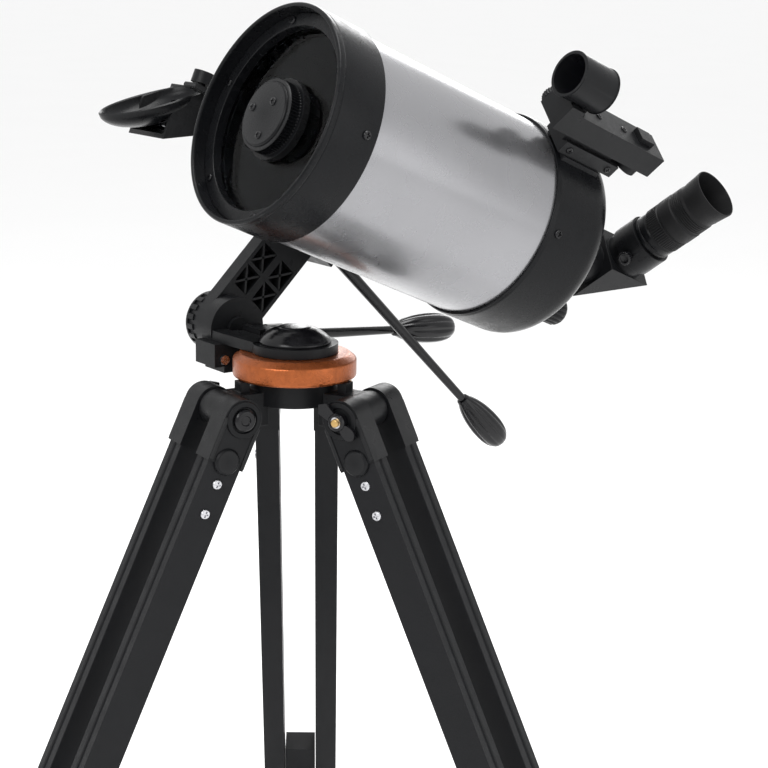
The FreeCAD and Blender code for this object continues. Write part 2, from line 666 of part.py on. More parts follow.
def main_tube():
    start, end = 30.0, size("tube_end") + 10
    outer = size("tube_radius")
    inner = outer - size("tube_wall")
    part("optical_tube", lathe([(inner, start), (outer, start), (outer, end), (inner, end)]), TUBE)


def rear_end():
    bore = size("tube_radius")
    end = size("tube_end")
    rear = size("rear_cell_end")
    part("rear_cell", lathe([(bore, end), (75.6, end), (76, end + 2), (76, end + 42), (74, end + 50),
                             (68.5, rear - 1), (26, rear + 1), (25, rear + 8), (16.5, rear + 8),
                             (16.5, rear - 5), (62, rear - 6), (70, end + 44), (70.5, end + 10),
                             (bore, end + 10)]), TUBE)
    front = size("mirror_front")
    mirror = lathe([(13.1, front), (66, front), (66, front + 12), (20, front + 16), (13.1, front + 16)])
    part("primary_mirror", mirror, TUBE)
    part("baffle_tube", lathe([(10.5, 150), (12, 150), (13, 170), (13, rear - 5), (16.4, rear - 5),
                               (16.4, rear + 7), (11.5, rear + 7), (11.5, 165)]), TUBE)
    bore = size("barrel_bore")
    back = lathe([(bore, rear + 8), (23, rear + 8), (23, rear + 13), (21, rear + 15), (21, rear + 24),
                  (bore, rear + 24)])
    screw_room = rod(2.1, 20, (0, 8, rear + 19.5), (0, 1, 0))
    part("visual_back", cut(back, turned(screw_room, place(angle=SIZES["diagonal_angle"] + 90))), TUBE)
    thumb = fuse(rod(2.0, 7.0, (0, 18.9, rear + 19.5), (0, 1, 0)),
                 rod(5.0, 7.0, (0, 25.5, rear + 19.5), (0, 1, 0)))
    part("visual_back_screw", turned(thumb, place(angle=SIZES["diagonal_angle"] + 90)), TUBE)
    across, up = polar(50, 90 - 155)
    knob_frame = TUBE.multiply(place((across * -1, up, rear + 1.2)))
    knob = fuse(rod(11, 19, (0, 0, 5)), rod(5.0, 6, (0, 0, 0)))
    part("focus_knob", knob, knob_frame)


def star_diagonal():
    """Prism diagonal and eyepiece: the frame's Y axis is the eyepiece's own axis."""
    middle, half = size("prism_centre"), size("prism_half")
    rear = size("rear_cell_end")
    nose = ring("barrel_radius", 14.0, middle - half - rear - 9, (0, 0, rear + 9))
    corner = slab([(-half - 1, middle - half - 1), (half + 1, middle - half - 1),
                   (half + 1, middle + half + 1)], -half, half, "YZ_Plane")
    room = slab([(2 - half, middle - half + 2), (half - 2, middle - half + 2),
                 (half - 2, middle + half - 2)], 2 - half, half - 2, "YZ_Plane")
    light_in = rod(14, 20, (0, 0, middle - half - 5))
    light_out = rod(14, 20, (0, half - 10, middle), (0, 1, 0))
    shell = cut(corner, room, light_in, light_out)
    prism = slab([(3.2 - half, middle - half + 2.5), (half - 2.5, middle - half + 2.5),
                  (half - 2.5, middle + half - 3.2)], -14, 14, "YZ_Plane")
    part("diagonal_prism", prism, DIAGONAL)
    bore = size("barrel_bore")
    start = half + 1
    screw_y = start + 11.5
    outward = V(-0.66, 0, -0.75).normalize()

    def from_axis(distance):
        """A point on the set screw's own axis, at a distance from the eyepiece's axis."""
        return tuple(V(0, screw_y.value, middle.value) + outward * distance)

    holder = cut(fuse(rod(17.8, 7, (0, start, middle), (0, 1, 0)),
                      rod(19.4, 19, (0, start + 7, middle), (0, 1, 0))),
                 rod(bore, 40, (0, start - 1, middle), (0, 1, 0)),
                 rod(2.1, 20, from_axis(5), tuple(outward)))
    part("diagonal_housing", fuse(shell, nose, holder), DIAGONAL)
    thumb = fuse(rod(2.0, 5, from_axis(17.6), tuple(outward)),
                 rod(5.0, 5, from_axis(20.5), tuple(outward)))
    part("holder_screw", thumb, DIAGONAL)
    eye_frame = DIAGONAL.multiply(FreeCAD.Placement(V(0, (start + 26.9).value, middle.value),
                                                    facing((0, 1, 0))))
    barrel = size("barrel_radius")
    part("eyepiece", lathe([(13.5, -26.6), (barrel, -26.6), (barrel, 0), (17.4, 0), (17.4, 8), (16.6, 10),
                            (16.6, 42), (12, 42), (12, 28), (13.5, 18)]), eye_frame)
    part("eyecup", lathe([(16.65, 10), (18.0, 10), (18.0, 34), (17.2, 38), (17.0, 46), (18.2, 62),
                          (17.2, 62), (15.6, 50), (14.5, 42.1), (16.65, 42.1)]), eye_frame)


def finder():
    """Red dot finder: the frame's Y axis points away from the tube."""
    base = cut(box((-15, 15), (60, 78), (204, 240)), rod(76.05, 60, (0, 0, 196)))
    bracket = fuse(box((-13, 13), (78.2, 88), (198, 251)), box((-9, 9), (86, 92), (196, 244)))
    part("finder_bracket", fuse(base, bracket, box((-9, 9), (76, 80), (206, 238))), FINDER)
    body = fuse(box((-13.5, 13.5), (92.4, 109.6), (178, 277)),
                box((-13.5, 13.5), (108, 113), (178, 190)))
    sight = ring(16.0, 14.2, 33, (0, 127, 166))
    post = box((-6, 6), (105, 112.2), (188, 197))
    knob = rod(10.0, 8.0, (0, 85.2, 265), (0, 1, 0))
    switch = box((-6, 6), (109, 113.6), (253, 266))
    part("finder_body", fuse(body, sight, post, knob, switch), FINDER)
    part("finder_dial", rod(8.5, 5.0, (13.9, 99, 186), (1, 0, 0)), FINDER)


# ---------------------------------------------------------------- phone dock (tube frame)
def phone_dock():
    axis_x = size("tube_axis_x")

    def side(value):
        return axis_x - size(value)

    level = size("tray_level")
    near, far = side("tray_inner"), side("tray_outer")
    arm = fuse(box((side("dock_inner"), side(-102)), (-16, 16), (70, balance + 20)),
               box((side(-102), near + 2), (level - 18, level - 4), (110, 170)),
               box((near, near + 30), (level - 18, level - 4), (110, 170)))
    arm = cut(arm, rod("shaft_radius", 40, (side(-80), 0, balance), (1, 0, 0)))
    tray = cut(box((near, far), (level - 4, level), (74, 222)),
               rod(12, 20, (near + 41, level - 10, 88), (0, 1, 0)))
    lips = [box((near, near + 3), (level, level + 11), (104, 222)),
            box((near, far), (level, level + 9), (218, 222))]
    part("dock_tray", fuse(arm, tray, *lips), TUBE)
    clamp = fuse(box((far + 0.4, far + 6), (level - 9, level + 12), (120, 190)),
                 box((far - 14, far + 6), (level - 9, level - 4.4), (140, 170)))
    part("phone_clamp", clamp, TUBE)
    knob = fuse(rod(8.5, 9, (near + 6, level - 2.8, 55), (0, 1, 0)),
                rod(3, 4, (near + 6, level - 4, 55), (0, 1, 0)))
    part("dock_knob", knob, TUBE)
    # the housing narrows below the tray, and its floor rises towards the rear
    side_view = [(-20, 45), (level - 4.2, 45), (level - 4.2, 108), (6, 100)]
    room_view = [(-16.4, 40), (level, 40), (level, 105), (level - 6, 105), (8.6, 98.5), (-16.4, 45)]
    walls = cut(slab(side_view, near + 15, far - 15, "YZ_Plane"),
                slab(room_view, near + 18, far - 18, "YZ_Plane"))
    shelf = box((near, near + 16), (level - 8, level - 4.2), (46, 78))
    part("mirror_housing", fuse(walls, shelf, hood()), TUBE)
    mirror = box((near + 19, far - 19), (0, 1.6), (0, 40))
    part("dock_mirror", turned(mirror, place((0, -9.0, 58), X, -45)), TUBE)


def hood():
    """Spoon-shaped glare hood in front of the mirror: a shelled ellipsoid, open on its sky side."""
    middle = (size("tube_axis_x") - (size("tray_inner") + size("tray_outer")) / 2).value
    solids = []
    for shrink in (0.0, 1.8):
        ball = doc.addObject("Part::Ellipsoid", name("ball"))
        bind(ball, Radius1=size("hood_depth") - shrink, Radius2=size("hood_reach") - shrink,
             Radius3=size("hood_half") - shrink)
        ball.Angle1 = -90
        ball.Angle2 = 0 if shrink == 0 else 90
        solids.append(ball)
    bowl = cut(solids[0], solids[1])
    # the rim rises towards the rear, and the rear wall opens to the mirror
    frame = place((middle, 6, 40), X, -90 - SIZES["hood_rise"])
    window = box((middle - 23, middle + 23), (-12, 40), (57, 120))
    return cut(turned(turned(bowl, place(angle=90)), frame), window)


tripod_hub()
azimuth_ring()
for letter, angle in zip("abc", around(3, SIZES["first_leg"])):
    leg(letter, angle)
brace_hub()
accessory_tray()
base_arm()
dome_cap()
azimuth_fasteners()
azimuth_drive()
fork_arm()
arm_fittings()
altitude_drive()
altitude_parts()
front_end()
main_tube()
rear_end()
star_diagonal()
finder()
phone_dock()
doc.recompute()

# ---------------------------------------------------------------- check and write
faults = []
for item in doc.Objects:
    if "Invalid" in item.State or "Error" in item.State:
        faults.append("%s is %s" % (item.Name, item.State))
for label, item in parts.items():
    if item.Shape.isNull() or not item.Shape.isValid() or not item.Shape.Solids:
        faults.append("%s has no valid shape" % label)
if faults:
    raise SystemExit("\n".join(faults))
os.makedirs("parts", exist_ok=True)
for label, item in parts.items():
    item.Shape.exportStep("parts/%s.step" % label)
print(len(parts), "sub-parts written")
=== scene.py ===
"""Looks of a compound telescope on its altazimuth mount and tripod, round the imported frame."""
import json
import math

import bmesh
import bpy
from mathutils import Matrix, Vector


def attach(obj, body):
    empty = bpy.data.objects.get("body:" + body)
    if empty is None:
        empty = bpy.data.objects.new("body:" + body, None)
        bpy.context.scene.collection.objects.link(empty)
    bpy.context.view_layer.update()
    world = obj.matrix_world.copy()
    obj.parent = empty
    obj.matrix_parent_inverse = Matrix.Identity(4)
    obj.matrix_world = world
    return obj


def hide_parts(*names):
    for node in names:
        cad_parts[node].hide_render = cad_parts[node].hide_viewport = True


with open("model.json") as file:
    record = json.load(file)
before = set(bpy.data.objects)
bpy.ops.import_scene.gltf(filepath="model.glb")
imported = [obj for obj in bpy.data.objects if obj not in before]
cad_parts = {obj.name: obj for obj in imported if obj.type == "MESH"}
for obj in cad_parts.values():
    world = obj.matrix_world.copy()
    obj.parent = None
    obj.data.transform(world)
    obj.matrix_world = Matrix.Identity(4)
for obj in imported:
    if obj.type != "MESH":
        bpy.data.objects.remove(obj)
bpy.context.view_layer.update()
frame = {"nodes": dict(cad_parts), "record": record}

# ---------------------------------------------------------------- frames of reference
MM = 0.001
HOME = Matrix.Identity(4)
SCALE = Matrix.Scale(MM, 4)


def shift(x, y, z):
    return Matrix.Translation((x, y, z))


def turn(degrees, axis="Z"):
    return Matrix.Rotation(math.radians(degrees), 4, axis)


def facing(at, direction):
    """A frame at a point whose Z axis lies along a direction."""
    rotation = Vector((0, 0, 1)).rotation_difference(Vector(direction))
    return shift(*at) @ rotation.to_matrix().to_4x4()


DECK = 650.0
HEAD = SCALE @ shift(0, 0, DECK)
SLOPE = math.radians(23.08)
SKY = Vector((0, math.sin(SLOPE), math.cos(SLOPE)))
REAR = Vector((0, math.cos(SLOPE), -math.sin(SLOPE)))
TUBE = Matrix((Vector((-1, 0, 0)), SKY, REAR)).transposed().to_4x4()
TUBE = SCALE @ shift(60.0, -66.8, DECK + 180.1) @ TUBE
DIAGONAL = TUBE @ turn(49.0)
FINDER = TUBE @ turn(40.0)
ARM = HEAD @ shift(0, -10.0, 11.0) @ turn(-45.0, "X")
FIRST_LEG, SPLAY, PIVOT_RADIUS, PIVOT_DROP = 144.4, 24.93, 56.8, 33.0
GLASS_FRONT, REAR_CELL_END, PRISM_CENTRE = 17.0, 258.0, 335.0
ARM_REACH = 143.69
EYEPIECE_SHOULDER = 46.9
RAIL_OUTER, CAP_OUTER = 31.1, 32.5
DISC_BOTTOM, DISC_TOP, DISC_RADIUS = -13.6, 3.5, 44.1
ROUND = 192


def leg_frame(number):
    """X along the pivot bolt, Y outward and Z up the leg."""
    angle = FIRST_LEG + 120.0 * number
    at = shift(PIVOT_RADIUS * math.cos(math.radians(angle)),
               PIVOT_RADIUS * math.sin(math.radians(angle)), DECK - PIVOT_DROP)
    return SCALE @ at @ turn(angle - 90.0) @ turn(SPLAY, "X")


# ---------------------------------------------------------------- materials
def material(name, colour, roughness, metallic=0.0, grain=1800.0, bump=0.05, shade=0.12,
             patch=40.0, edge=0.0, coat=0.0, coat_roughness=0.2, gloss_swing=0.08, pits=0.0,
             specular=0.5):
    """A shader with colour drift, worn edges, uneven gloss and a fine moulded or sprayed grain."""
    mat = bpy.data.materials.new(name)
    mat.use_nodes = True
    nodes, links = mat.node_tree.nodes, mat.node_tree.links
    shader = nodes["Principled BSDF"]
    shader.inputs["Metallic"].default_value = metallic
    shader.inputs["Coat Weight"].default_value = coat
    shader.inputs["Coat Roughness"].default_value = coat_roughness
    shader.inputs["Specular IOR Level"].default_value = specular
    place = nodes.new("ShaderNodeTexCoord")

    def noise(scale, detail):
        item = nodes.new("ShaderNodeTexNoise")
        item.inputs["Scale"].default_value = scale
        item.inputs["Detail"].default_value = detail
        links.new(place.outputs["Object"], item.inputs["Vector"])
        return item.outputs["Fac"]

    def ramp(source, low, high, start=0.3, end=0.7):
        item = nodes.new("ShaderNodeMapRange")
        for key, value in (("From Min", start), ("From Max", end),
                           ("To Min", low), ("To Max", high)):
            item.inputs[key].default_value = value
        links.new(source, item.inputs["Value"])
        return item.outputs["Result"]

    def mixed(factor, low, high):
        item = nodes.new("ShaderNodeMix")
        item.data_type = "RGBA"
        links.new(factor, item.inputs[0])
        for socket, value in ((item.inputs[6], low), (item.inputs[7], high)):
            if isinstance(value, tuple):
                socket.default_value = value
            else:
                links.new(value, socket)
        return item.outputs[2]

    dark = tuple(value * (1 - shade) for value in colour) + (1.0,)
    light = tuple(min(1.0, value * (1 + shade)) for value in colour) + (1.0,)
    drift = mixed(ramp(noise(patch, 3.0), 0.0, 1.0), dark, light)
    fine = noise(grain, 2.0)
    speckle = mixed(ramp(fine, 0.0, 0.35), drift, light)
    if edge:
        wear = nodes.new("ShaderNodeNewGeometry").outputs["Pointiness"]
        bright = tuple(min(1.0, value + edge) for value in colour) + (1.0,)
        speckle = mixed(ramp(wear, 0.0, 0.6, 0.52, 0.62), speckle, bright)
    links.new(speckle, shader.inputs["Base Color"])
    links.new(ramp(noise(patch * 3, 4.0), roughness - gloss_swing, roughness + gloss_swing),
              shader.inputs["Roughness"])
    height = fine
    if pits:
        cells = nodes.new("ShaderNodeTexVoronoi")
        cells.feature = "SMOOTH_F1"
        cells.inputs["Scale"].default_value = pits
        links.new(place.outputs["Object"], cells.inputs["Vector"])
        height = cells.outputs["Distance"]
    relief = nodes.new("ShaderNodeBump")
    relief.inputs["Strength"].default_value = bump
    relief.inputs["Distance"].default_value = 0.0004
    links.new(height, relief.inputs["Height"])
    links.new(relief.outputs["Normal"], shader.inputs["Normal"])
    return mat


MATERIALS = {
    "black_plastic": material("black_plastic", (0.0065, 0.0068, 0.0076), 0.34, bump=0.3,
                              edge=0.012, specular=0.14),
    "satin_black": material("satin_black", (0.0045, 0.0048, 0.0056), 0.28, grain=2600, bump=0.15,
                            edge=0.02, specular=0.14),
    "silver_paint": material("silver_paint", (0.275, 0.275, 0.286), 0.27, metallic=0.8,
                             grain=5200, bump=0.02, shade=0.05, patch=14, coat=0.2,
                             coat_roughness=0.12, gloss_swing=0.03),
    "orange_anodised": material("orange_anodised", (0.33, 0.085, 0.021), 0.33, metallic=0.75,
                                grain=1500, bump=0.5, shade=0.16, patch=260, coat=0.1, pits=900),
    "rail_black": material("rail_black", (0.0050, 0.0053, 0.0064), 0.40, grain=2200, bump=0.4,
                           edge=0.03, patch=25, specular=0.13),
    "steel": material("steel", (0.52, 0.52, 0.54), 0.28, metallic=1.0, grain=900, bump=0.05,
                      patch=200),
    "brass": material("brass", (0.50, 0.33, 0.13), 0.32, metallic=1.0, grain=900, bump=0.05),
    "rubber": material("rubber", (0.0045, 0.0045, 0.005), 0.52, grain=2400, bump=0.4,
                       specular=0.18),
    "mirror": material("mirror", (0.88, 0.89, 0.92), 0.04, metallic=1.0, bump=0.0, shade=0.01,
                       gloss_swing=0.01),
    "gloss_black": material("gloss_black", (0.0045, 0.0045, 0.0055), 0.18, grain=1200, bump=0.1,
                            gloss_swing=0.05, specular=0.3),
    "flat_black": material("flat_black", (0.002, 0.002, 0.0025), 0.8, bump=0.2, specular=0.12),
    "grey_plastic": material("grey_plastic", (0.035, 0.037, 0.042), 0.38, bump=0.25, specular=0.25),
}


def glass(name, tint, bending, see_through):
    """Coated glass: mostly clear; a low index stands for the coating that kills reflections."""
    mat = material(name, tint, 0.05, bump=0.0, shade=0.03, gloss_swing=0.01)
    shader = mat.node_tree.nodes["Principled BSDF"]
    shader.inputs["Transmission Weight"].default_value = see_through
    shader.inputs["IOR"].default_value = bending
    return mat


MATERIALS["glass"] = glass("glass", (0.80, 0.84, 0.87), 1.12, 1.0)
MATERIALS["dark_lens"] = glass("dark_lens", (0.05, 0.045, 0.09), 1.4, 0.4)


# ---------------------------------------------------------------- mesh building
def arc_points(before, corner, after, radius, steps=4):
    """A rounded corner of an outline, as points of a quadratic curve."""
    into, out = before - corner, after - corner
    reach = min(radius, into.length * 0.48, out.length * 0.48)
    start, end = corner + into.normalized() * reach, corner + out.normalized() * reach
    points = []
    for step in range(steps + 1):
        t = step / steps
        points.append(start * (1 - t) ** 2 + corner * 2 * t * (1 - t) + end * t ** 2)
    return points


def rounded(outline, radius, closed=True):
    corners = [Vector(point) for point in outline]
    total = len(corners)
    points = []
    for index, corner in enumerate(corners):
        if not closed and index in (0, total - 1):
            points.append(corner)
            continue
        before, after = corners[index - 1], corners[(index + 1) % total]
        straight = abs((corner - before).normalized().dot((after - corner).normalized())) > 0.999
        sharp = radius <= 0 or corner.x < 1e-6 or straight
        points += [corner] if sharp else arc_points(before, corner, after, radius)
    return [(point.x, point.y) for point in points]


class Shape:
    """Vertices and faces of one piece, gathered in millimetres in a local frame."""

    def __init__(self):
        self.verts, self.faces, self.slots = [], [], []

    def add(self, verts, faces, at=HOME, slot=0):
        base = len(self.verts)
        self.verts += [at @ Vector(point) for point in verts]
        self.faces += [[base + index for index in face] for face in faces]
        self.slots += [slot] * len(faces)
        return self

    def rings(self, loops, at=HOME, slot=0, closed=False):
        """Skins a stack of equal loops, with flat ends unless the stack closes on itself."""
        total = len(loops[0])
        verts = [point for loop in loops for point in loop]
        faces = []
        spans = len(loops) if closed else len(loops) - 1
        for row in range(spans):
            low, high = row * total, ((row + 1) % len(loops)) * total
            for index in range(total):
                after = (index + 1) % total
                faces.append([low + index, low + after, high + after, high + index])
        if not closed:
            faces.append(list(range(total))[::-1])
            faces.append([(len(loops) - 1) * total + index for index in range(total)])
        return self.add(verts, faces, at, slot)

    def lathe(self, outline, at=HOME, steps=128, slot=0, closed=True, wave=None):
        """Turns an outline of (radius, height); wave(radius, height, angle) may bend a radius."""
        loops = []
        for radius, height in outline:
            loop = []
            for step in range(steps):
                angle = 2 * math.pi * step / steps
                bent = wave(radius, height, angle) if wave else radius
                loop.append((bent * math.cos(angle), bent * math.sin(angle), height))
            loops.append(loop)
        return self.rings(loops, at, slot, closed)

    def prism(self, outline, low, high, at=HOME, slot=0):
        return self.rings([[(x, y, low) for x, y in outline], [(x, y, high) for x, y in outline]],
                          at, slot)

    def block(self, x, y, z, at=HOME, slot=0, bevel=0.6):
        """A box with its edges eased."""
        inset = min(bevel, (x[1] - x[0]) * 0.45, (y[1] - y[0]) * 0.45, (z[1] - z[0]) * 0.45)

        def loop(grow, height):
            a, b = x[0] + inset - grow, x[1] - inset + grow
            c, d = y[0] + inset - grow, y[1] - inset + grow
            k = inset * 0.6
            return [(a + k, c, height), (b - k, c, height), (b, c + k, height), (b, d - k, height),
                    (b - k, d, height), (a + k, d, height), (a, d - k, height), (a, c + k, height)]
        return self.rings([loop(0, z[0]), loop(inset, z[0] + inset), loop(inset, z[1] - inset),
                           loop(0, z[1])], at, slot)

    def make(self, name, home, body, slot, replaces=(), materials=None, smooth=32.0):
        mesh = bpy.data.meshes.new(name)
        mesh.from_pydata([home @ point for point in self.verts], [], self.faces)
        for key in materials or [slot]:
            mesh.materials.append(MATERIALS[key])
        for face, index in zip(mesh.polygons, self.slots):
            face.material_index = index
        mesh.validate()
        mesh.set_sharp_from_angle(angle=math.radians(smooth))
        for face in mesh.polygons:
            face.use_smooth = True
        mesh.update()
        item = bpy.data.objects.new(name, mesh)
        bpy.context.scene.collection.objects.link(item)
        fix_normals(mesh)
        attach(item, body)
        if replaces:
            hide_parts(*replaces)
        return item


def fix_normals(mesh):
    work = bmesh.new()
    work.from_mesh(mesh)
    bmesh.ops.recalc_face_normals(work, faces=work.faces)
    work.to_mesh(mesh)
    work.free()


def cross_reach(angle, arm, half):
    """How far a cross-shaped outline lies from its centre in one direction."""
    across, along = abs(math.cos(angle)), abs(math.sin(angle))
    long_side, short_side = max(across, along), min(across, along)
    if short_side < 1e-9 or short_side / long_side < half / arm:
        return arm / long_side
    return half / short_side


def cross_screw(shape, radius, height, at, slot=0):
    """A pan-head screw with a cross recess; at has its Z axis out of the head."""
    angles = []
    arm, half = radius * 0.62, radius * 0.17
    corner = math.degrees(math.atan2(half, arm))
    for quarter in range(4):
        base = quarter * 90.0
        angles += [base - corner, base, base + corner, base + 22, base + 45, base + 68]
    angles = [math.radians(value) for value in angles]

    def circle(size, level):
        return [(size * math.cos(a), size * math.sin(a), level) for a in angles]

    def cross(scale, level):
        return [(cross_reach(a, arm, half) * scale * math.cos(a),
                 cross_reach(a, arm, half) * scale * math.sin(a), level) for a in angles]

    deep = height * 0.25
    shape.rings([circle(radius, 0), circle(radius, height * 0.5),
                 circle(radius * 0.93, height * 0.8), circle(radius * 0.8, height),
                 cross(1.0, height), cross(0.85, deep)], at, slot)


def polar(radius, degrees):
    angle = math.radians(degrees)
    return radius * math.cos(angle), radius * math.sin(angle)


# ---------------------------------------------------------------- CAD nodes that stay
RECORD_SLOTS = {item["node"]: item["material_slot"] for item in frame["record"]["subparts"]}
SOFTENED = {"default": 0.5, "fork_arm": 1.6, "tripod_hub": 1.2, "base_arm": 1.5, "saddle": 1.2,
            "azimuth_housing": 3.0, "diagonal_housing": 1.2, "finder_bracket": 1.2,
            "finder_body": 1.3, "mirror_housing": 0.8, "dock_tray": 0.8}


def soften(node, width):
    weld = node.modifiers.new("weld", "WELD")
    weld.merge_threshold = 0.00001
    bevel = node.modifiers.new("eased_edges", "BEVEL")
    bevel.width = width * MM
    bevel.segments = 3
    bevel.limit_method = "ANGLE"
    bevel.angle_limit = math.radians(40)
    bevel.use_clamp_overlap = True
    normals = node.modifiers.new("face_normals", "WEIGHTED_NORMAL")
    normals.keep_sharp = True


for name, node in frame["nodes"].items():
    node.data.materials.clear()
    node.data.materials.append(MATERIALS[RECORD_SLOTS[name]])
    width = SOFTENED.get(name, 1.2 if name.endswith("_fittings") else SOFTENED["default"])
    soften(node, width)


# ---------------------------------------------------------------- tube, front to back
def optical_tube():
    cell = Shape().lathe(rounded([(73.2, 0), (75.0, 0), (76, 1.0), (76, 4.0), (75.6, 4.6),
                                  (76, 5.2), (76, 38.7), (73.5, 38.7), (73.5, 30), (64.5, 30),
                                  (64.5, 21.2), (67.5, 21.2), (67.5, GLASS_FRONT),
                                  (72.7, GLASS_FRONT), (72.7, 1.5)], 0.5), steps=ROUND)
    cell.make("front_cell_turned", TUBE, "tube", "satin_black", ["front_cell"])
    # the tube is two skins without their end caps, joined by a ring at each end
    shell = Shape()
    shell.lathe([(73.5, 30), (73.5, 210)], steps=ROUND, closed=False)
    shell.faces, shell.slots = shell.faces[:-2], shell.slots[:-2]
    base = Shape().lathe([(72.3, 210), (72.3, 30)], steps=ROUND, closed=False)
    shell.add(base.verts, base.faces[:-2], slot=1)
    for low, high in ((0, ROUND * 3), (ROUND, ROUND * 2)):
        for step in range(ROUND):
            after = (step + 1) % ROUND
            shell.faces.append([low + step, low + after, high + after, high + step])
        shell.slots += [1] * ROUND
    shell.make("silver_tube", TUBE, "tube", "silver_paint", ["optical_tube"],
               materials=["silver_paint", "flat_black"])
    rear = Shape().lathe(rounded([(73.5, 200), (75.4, 200), (75.6, 201.5), (76, 203), (76, 241),
                                  (75.6, 246), (74, 250.5), (71.2, 254.4), (67, 257), (60, 257.8),
                                  (50, 258), (26, 259), (25, 266), (16.5, 266), (16.5, 253),
                                  (62, 252), (70, 244), (70.5, 210), (73.5, 210)], 2.0),
                         steps=ROUND)
    rear.make("rear_cell_cast", TUBE, "tube", "satin_black", ["rear_cell"])


def front_optics():
    """Secondary holder with a knurled collar, its cover, and the hollow primary mirror."""

    def knurl(radius, height, angle):
        if 5.0 < height < 11.4 and radius > 20:
            return radius - 0.35 * (1 + math.cos(72 * angle))
        return radius
    outline = [(0, 3.2), (24.3, 3.2), (25, 4.0), (25, 5.1), (25, 7.5), (25, 9.5), (25, 11.3),
               (25, 12), (28, 12), (28, 16.9), (24, 16.9), (24, 30), (0, 30)]
    holder = Shape().lathe(outline, steps=720, wave=knurl, closed=False)
    holder.lathe(rounded([(0, 1.6), (21.5, 1.6), (22.5, 2.6), (22.5, 3.2), (0, 3.2)], 0.5),
                 closed=False)
    holder.make("secondary_holder", TUBE, "tube", "satin_black", ["secondary_housing"])
    screws = Shape()
    for number in range(6):
        across, up = polar(68.2, 76.3 + 60 * number)
        cross_screw(screws, 2.7, 1.5, facing((across, up, 10.0), (0, 0, -1)))
    for angle, radius in ((126, 10.5), (11, 15.0), (260, 15.0)):
        across, up = polar(radius, angle)
        cross_screw(screws, 2.8, 1.1, facing((across, up, 1.6), (0, 0, -1)))
    for along, first in ((30, 178), (209, 182)):
        for number in range(3):
            angle = first + 120 * number
            across, up = polar(75.9, angle)
            cross_screw(screws, 3.1, 1.6, facing((across, up, along), polar(1, angle) + (0,)))
    screws.make("cell_screws", TUBE, "tube", "satin_black", ["tube_screws"],
                materials=["gloss_black"])
    curve, hollow = 508.0, []
    for step in range(15):
        radius = 13.1 + (65.6 - 13.1) * step / 14
        hollow.append((radius, 218.3 - (curve - math.sqrt(curve ** 2 - radius ** 2))))
    mirror = Shape().lathe(hollow + [(66, 214.6), (66, 226), (20, 230), (13.1, 230)], steps=160)
    mirror.make("primary_mirror_hollow", TUBE, "primary_mirror", "mirror", ["primary_mirror"])


def visual_end():
    """Focus knob, visual back, eyepiece, eyecup and the diagonal's set screw."""

    def ribs(number, deep, low, high, least=0.0):
        def wave(radius, height, angle):
            if low < height < high and radius > least:
                return radius - deep * (0.5 + 0.5 * math.cos(number * angle)) ** 2
            return radius
        return wave
    across, up = polar(50, -65)
    knob_home = TUBE @ shift(-across, up, REAR_CELL_END + 1.2)
    outline = [(0, 0), (5, 0), (5, 5), (9.6, 5), (11, 6.2)]
    outline += [(11, 6.4 + 1.4 * step) for step in range(8)] + [(11, 21.5), (9.6, 24), (0, 24)]
    Shape().lathe(outline, steps=144, closed=False, wave=ribs(18, 0.9, 6.3, 21.6, 8)).make(
        "focus_knob_ribbed", knob_home, "focus_knob", "black_plastic", ["focus_knob"])
    back = Shape().lathe(rounded([(15.93, 266), (23, 266), (23, 271), (21, 273), (21, 282),
                                  (15.93, 282)], 0.6))
    for step in range(5):
        level = 274.4 + step * 1.5
        back.lathe(rounded([(20.8, level - 0.45), (21.3, level), (20.8, level + 0.45)], 0.1))
    back.make("visual_back_collar", TUBE, "tube", "satin_black", ["visual_back"])
    eye_home = DIAGONAL @ facing((0, EYEPIECE_SHOULDER, PRISM_CENTRE), (0, 1, 0))
    body = [(13.5, -26.6), (15.85, -26.6), (15.85, 0), (17.4, 0), (17.4, 2.4), (16.9, 3), (16.9, 4),
            (17.4, 4.6), (17.4, 8), (16.6, 9.4), (16.6, 42), (12, 42), (12, 28), (13.5, 18)]
    Shape().lathe(rounded(body, 0.35), steps=144).make(
        "eyepiece_barrel", eye_home, "eyepiece", "satin_black", ["eyepiece"])
    lens = [(0, 31.5), (5, 32.3), (9, 33.6), (11.7, 35.0), (11.7, 31), (0, 29)]
    Shape().lathe(lens, closed=False).make("eye_lens", eye_home, "eyepiece", "glass",
                                           materials=["dark_lens"])
    grip = [(16.65, 10), (17.6, 10)] + [(17.9, 10.6 + 1.1 * step) for step in range(9)]
    grip += [(17.9, 20.2), (17.3, 20.8), (17.3, 21.4), (18.1, 22.2), (18.1, 32.4), (17.4, 33.2)]
    for step in range(6):
        grip += [(17.2, 34.0 + 1.7 * step), (17.8, 34.5 + 1.7 * step), (17.8, 35.3 + 1.7 * step)]
    grip += [(17.2, 44.8), (17.2, 46), (17.8, 49), (18.3, 55), (19.0, 61.4), (18.8, 62), (18.0, 62),
             (16.8, 56), (15.6, 50), (14.5, 42.2), (16.65, 42.2)]
    Shape().lathe(grip, steps=360, wave=ribs(60, 0.45, 10.4, 20, 17.5)).make(
        "eyecup_ribbed", eye_home, "eyepiece", "rubber", ["eyecup"])
    outward = Vector((-0.66, 0, -0.75)).normalized()
    screw = Shape()
    screw.lathe([(0, 17.6), (2.0, 17.6), (2.0, 20.8), (0, 20.8)], steps=32, closed=False)
    screw.lathe(rounded([(0, 20.5), (4.4, 20.5), (5.0, 21.2), (5.0, 25.0), (4.5, 25.5), (3.0, 25.5),
                         (2.7, 24.6), (0, 24.6)], 0.3, False), steps=144, closed=False,
                wave=ribs(18, 0.35, 21, 25.2, 4.6))
    screw.make("holder_screw_ringed", DIAGONAL @ facing((0, 31.5, PRISM_CENTRE), outward),
               "holder_screw", "gloss_black", ["holder_screw"])


